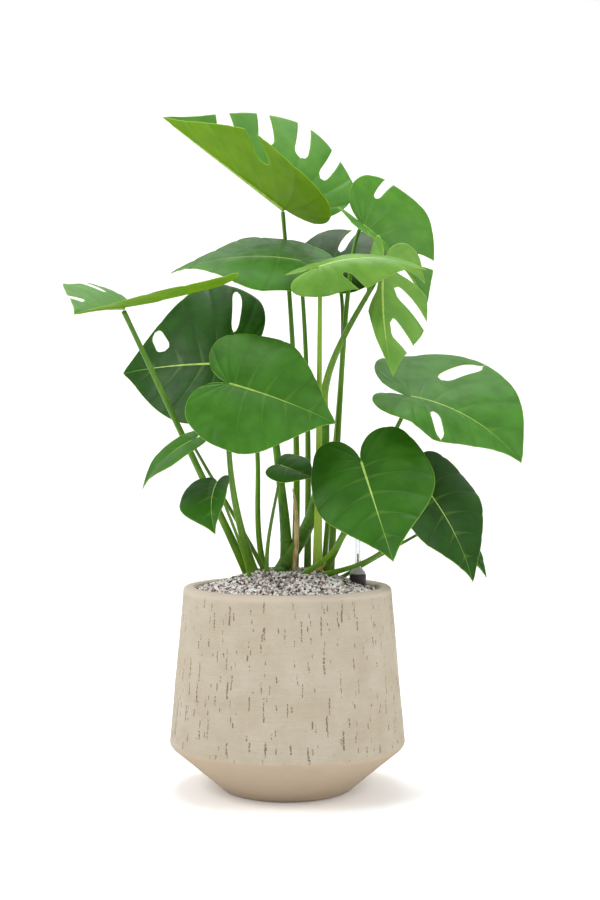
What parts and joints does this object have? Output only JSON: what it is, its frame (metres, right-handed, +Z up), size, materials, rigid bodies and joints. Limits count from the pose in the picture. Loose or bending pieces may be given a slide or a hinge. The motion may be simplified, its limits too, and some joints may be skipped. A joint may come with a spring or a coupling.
{
  "type": "potted split-leaf plant",
  "caption": "Split-leaf plant with long arching stalks in a tapered beige fibre-clay pot topped with mineral granules, with a small water-level gauge",
  "frame": {"origin": "middle of the flat underside of the pot", "axes": "+Z up along the pot's axis, which is also the longest extent; -Y is the side the plant faces; +X is to the right of someone who faces the plant"},
  "size_m": [0.6533, 0.4758, 1.0474],
  "materials": {
    "fibre_clay": "matte pressed fibre clay, sand beige, with fine horizontal hairlines and short cracks",
    "mineral_granules": "loose white, grey and violet mineral granules",
    "rootstock_skin": "smooth living stem skin with ring scars",
    "green_stalk": "smooth satin green stalk",
    "leaf_green": "satin green leaf blade with pale veins",
    "leaf_dark": "satin dark green leaf blade with pale veins",
    "dark_plastic": "moulded, satin",
    "clear_plastic": "clear moulded plastic",
    "marker_plastic": "coloured rod"
  },
  "bodies": {
    "root": {"pot": "fibre_clay", "substrate": "mineral_granules", "rootstock": "rootstock_skin", "petiole_top": "green_stalk", "petiole_right_upper": "green_stalk", "petiole_centre": "green_stalk", "petiole_left": "green_stalk", "petiole_back_centre": "green_stalk", "petiole_hanging": "green_stalk", "petiole_back_right": "green_stalk", "petiole_back_left": "green_stalk", "petiole_front_heart": "green_stalk", "petiole_right": "green_stalk", "petiole_lower_right": "green_stalk", "petiole_lower_right_back": "green_stalk", "petiole_small_right": "green_stalk", "petiole_small_left": "green_stalk", "petiole_curled_left": "green_stalk", "petiole_small_centre": "green_stalk", "leaf_top": "leaf_green", "leaf_right_upper": "leaf_green", "leaf_centre": "leaf_green", "leaf_left": "leaf_green", "leaf_back_centre": "leaf_green", "leaf_hanging": "leaf_green", "leaf_back_right": "leaf_dark", "leaf_back_left": "leaf_dark", "leaf_front_heart": "leaf_green", "leaf_right": "leaf_green", "leaf_lower_right": "leaf_green", "leaf_lower_right_back": "leaf_dark", "leaf_small_right": "leaf_dark", "leaf_small_left": "leaf_green", "leaf_curled_left": "leaf_green", "leaf_small_centre": "leaf_green", "gauge_housing": "dark_plastic", "gauge_shoulder": "clear_plastic", "gauge_sight_tube": "clear_plastic", "gauge_float_marker": "marker_plastic"}
  },
  "joints": []
}
